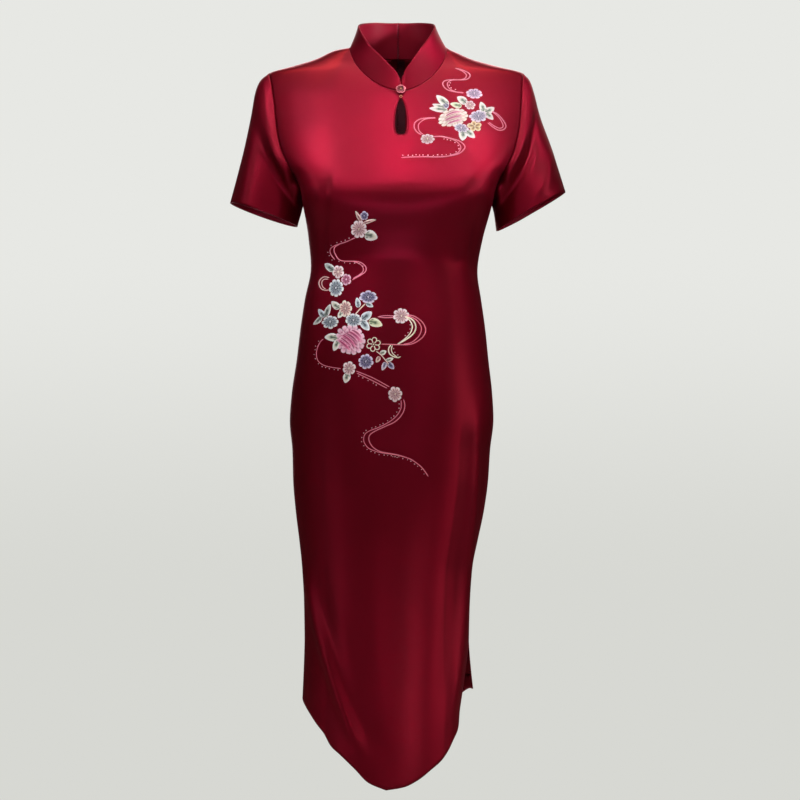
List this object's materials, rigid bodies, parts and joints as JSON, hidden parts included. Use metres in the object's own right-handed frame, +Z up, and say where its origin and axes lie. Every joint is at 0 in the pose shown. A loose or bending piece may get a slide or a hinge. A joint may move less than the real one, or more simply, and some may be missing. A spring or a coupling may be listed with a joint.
{
  "type": "cheongsam dress",
  "caption": "Fitted satin cheongsam with short sleeves, split stand collar, rose button, keyhole, floral embroidery and an arched hem, in its hollow worn shape.",
  "frame": {"origin": "on the wearer's shoulder line, midway between the two armholes, in the plane of the side and shoulder seams", "axes": "+Z up the body, -Y out of the front, +X to the viewer's right of the front (the wearer's left)"},
  "size_m": [0.5015, 0.2552, 1.137],
  "materials": {
    "satin": "wine-red satin, smooth with a soft sheen",
    "satin_reverse": "the satin's duller reverse side",
    "rose_button": "moulded, pink petals with a dark red core",
    "gold_metal": "polished small ring and bead",
    "zip_metal": "enamelled in the satin's colour",
    "zip_tape": "woven tape and coil in the satin's colour",
    "embroidery_thread": "rayon embroidery thread in mixed colours",
    "beads": "small round seed beads"
  },
  "bodies": {
    "dress": {"front_panel": "satin", "back_panel_left": "satin", "back_panel_right": "satin", "sleeve_left": "satin", "sleeve_right": "satin", "collar_left": "satin", "collar_right": "satin", "rose_button": "rose_button", "button_loop": "gold_metal", "zip_slider": "zip_metal"},
    "pull": {"zip_pull": "zip_metal"}
  },
  "joints": [
    {"name": "pull_tab_hinge", "type": "hinge", "parent": "dress", "child": "pull", "pos_m": [0.003, 0.05461, 0.05218], "axis": [1, 0, 0], "range_deg": [0, 150]}
  ]
}
